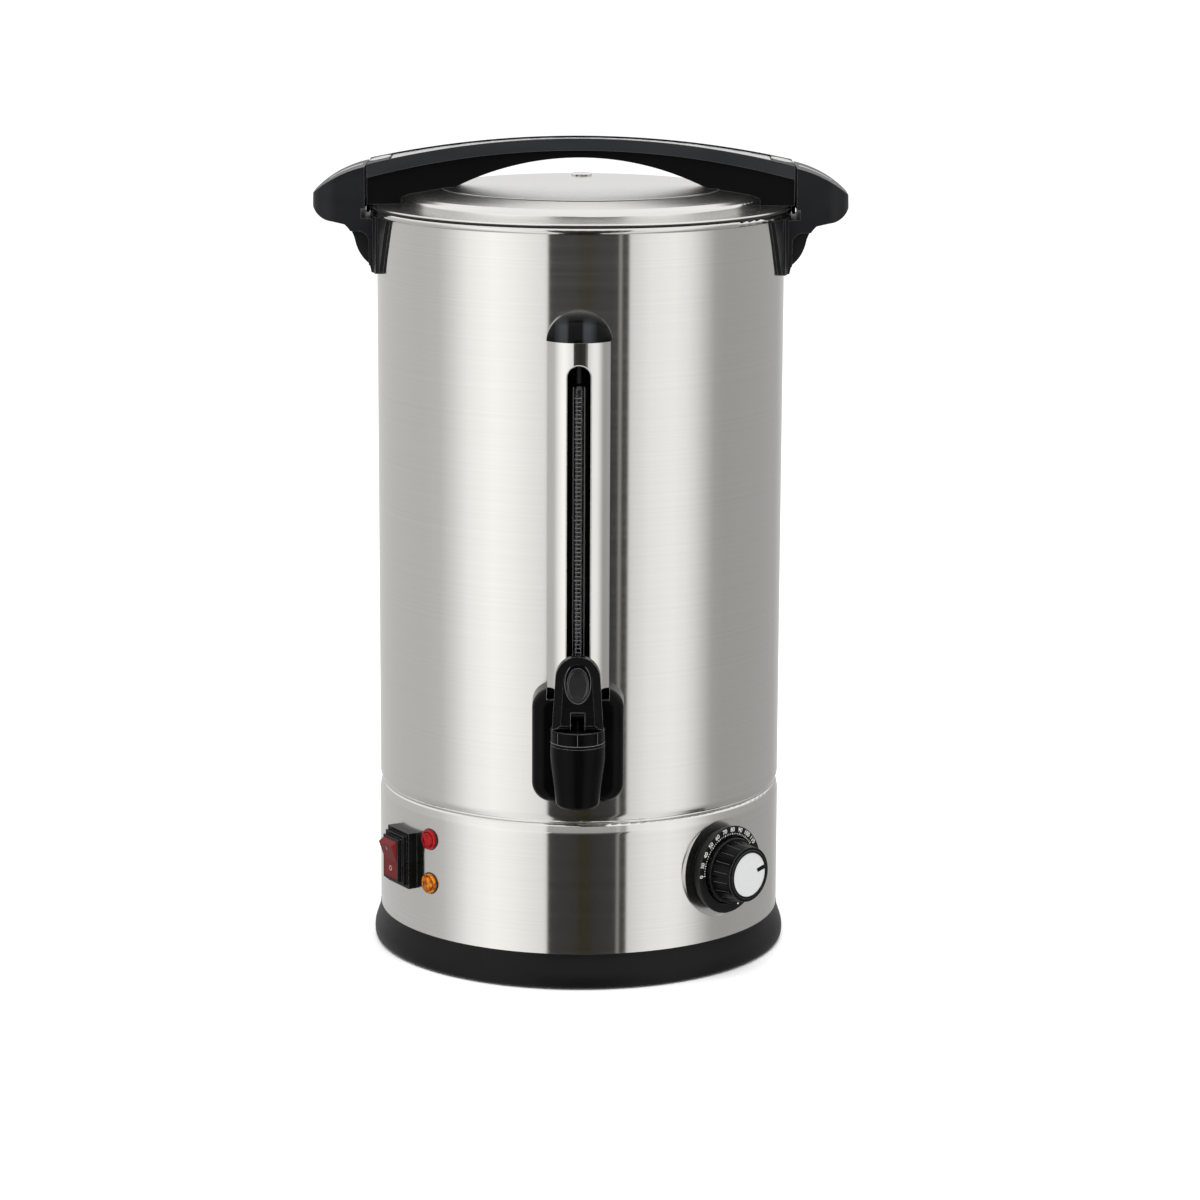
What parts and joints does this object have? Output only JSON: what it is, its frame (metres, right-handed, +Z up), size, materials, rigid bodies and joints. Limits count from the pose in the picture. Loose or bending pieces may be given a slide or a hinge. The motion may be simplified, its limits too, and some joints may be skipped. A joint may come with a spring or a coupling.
{
  "type": "coffee urn",
  "caption": "Cylindrical steel coffee urn with a lift-off lid, arch handle, self-closing lever tap, sight gauge, thermostat knob, pilot lamps, rocker switch and percolator basket.",
  "frame": {"origin": "on the urn's axis, at the level of the table it stands on", "axes": "+Z up, -Y towards the person at the tap, +X to that person's right"},
  "size_m": [0.3532, 0.3357, 0.544],
  "materials": {
    "tank_steel": "fine horizontal brushing",
    "skirt_steel": "fine horizontal brushing",
    "lid_steel": "satin, spun",
    "gauge_steel": "polished",
    "sheet_steel": "plain sheet",
    "fastener_steel": "plated",
    "base_black": "satin",
    "handle_charcoal": "satin",
    "tap_black": "gloss",
    "gauge_black": "gloss",
    "dial_black": "satin",
    "knob_black": "semi-gloss",
    "knob_silver": "satin",
    "switch_black": "semi-gloss",
    "rocker_red": "translucent",
    "lens_red": "domed lens",
    "lens_amber": "domed lens",
    "gauge_glass": "clear",
    "rubber_black": "matt",
    "seal_white": "matt",
    "heater_alu": "cast",
    "element_steel": "oxidised",
    "bakelite": "moulded",
    "brass": "plain"
  },
  "bodies": {
    "urn": {"base_ring": "base_black", "foot_ring": "rubber_black", "bottom_plate": "sheet_steel", "bottom_screws": "fastener_steel", "tank": "tank_steel", "skirt": "skirt_steel", "heater_plate": "heater_alu", "heater_element": "element_steel", "heater_studs": "fastener_steel", "boil_dry_cutout": "bakelite", "tie_rod": "fastener_steel", "tie_nut": "fastener_steel", "side_handle_right": "handle_charcoal", "side_handle_left": "handle_charcoal", "handle_screws": "fastener_steel", "handle_seals": "seal_white", "tap_body": "tap_black", "tap_bonnet": "tap_black", "tap_spring": "fastener_steel", "tap_shank": "brass", "tap_seals": "seal_white", "tap_nut": "brass", "tap_housing": "tap_black", "gauge_cover": "gauge_steel", "gauge_cap": "gauge_black", "gauge_backing": "gauge_black", "gauge_tube": "gauge_glass", "gauge_plug": "rubber_black", "gauge_seal": "seal_white", "dial_plate": "dial_black", "thermostat": "bakelite", "thermostat_nut": "fastener_steel", "lamp_red": "lens_red", "lamp_amber": "lens_amber", "lamp_holders": "bakelite", "switch_frame": "switch_black", "switch_body": "switch_black", "inlet_socket": "switch_black", "inlet_pins": "brass", "inlet_screws": "fastener_steel"},
    "lid": {"lid_pan": "lid_steel", "lid_handle": "handle_charcoal", "lid_screws": "fastener_steel"},
    "percolator": {"perc_stem": "sheet_steel", "basket": "sheet_steel", "basket_floor": "sheet_steel", "basket_hub": "sheet_steel"},
    "spreader": {"spreader": "sheet_steel"},
    "valve_stem": {"tap_stem": "fastener_steel", "tap_seat_cup": "seal_white"},
    "tap_lever": {"tap_lever": "tap_black", "lever_pin": "fastener_steel"},
    "knob": {"knob": "knob_black", "knob_cap": "knob_silver", "thermostat_shaft": "fastener_steel"},
    "rocker": {"rocker": "rocker_red"}
  },
  "joints": [
    {"name": "lid_lift", "type": "slide", "parent": "urn", "child": "lid", "axis": [0, 0, 1], "range_m": [0, 0.52]},
    {"name": "percolator_lift", "type": "slide", "parent": "urn", "child": "percolator", "axis": [0, 0, 1], "range_m": [0, 0.4165]},
    {"name": "spreader_lift", "type": "slide", "parent": "percolator", "child": "spreader", "axis": [0, 0, 1], "range_m": [0, 0.048]},
    {"name": "tap_stem_lift", "type": "slide", "parent": "urn", "child": "valve_stem", "axis": [0, 0, 1], "range_m": [0, 0.005], "stiffness_N_per_m": 1000, "springref_m": -0.004, "deforming": ["tap_spring"]},
    {"name": "tap_lever_tilt", "type": "hinge", "parent": "valve_stem", "child": "tap_lever", "pos_m": [0, -0.178, 0.194], "axis": [1, 0, 0], "range_deg": [0, 40]},
    {"name": "knob_turn", "type": "hinge", "parent": "urn", "child": "knob", "pos_m": [0.09532, -0.097, 0.072], "axis": [0.7009, -0.7133, 0], "range_deg": [-60, 210]},
    {"name": "rocker_tilt", "type": "hinge", "parent": "urn", "child": "rocker", "pos_m": [-0.1206, -0.07477, 0.072], "axis": [-0.527, 0.8499, 0], "range_deg": [0, 20]}
  ],
  "couplings": [
    {"joint": "percolator_lift", "follows": "lid_lift", "ratio": 0.8},
    {"joint": "tap_lever_tilt", "follows": "tap_stem_lift", "rad_per_m": 139.62}
  ]
}
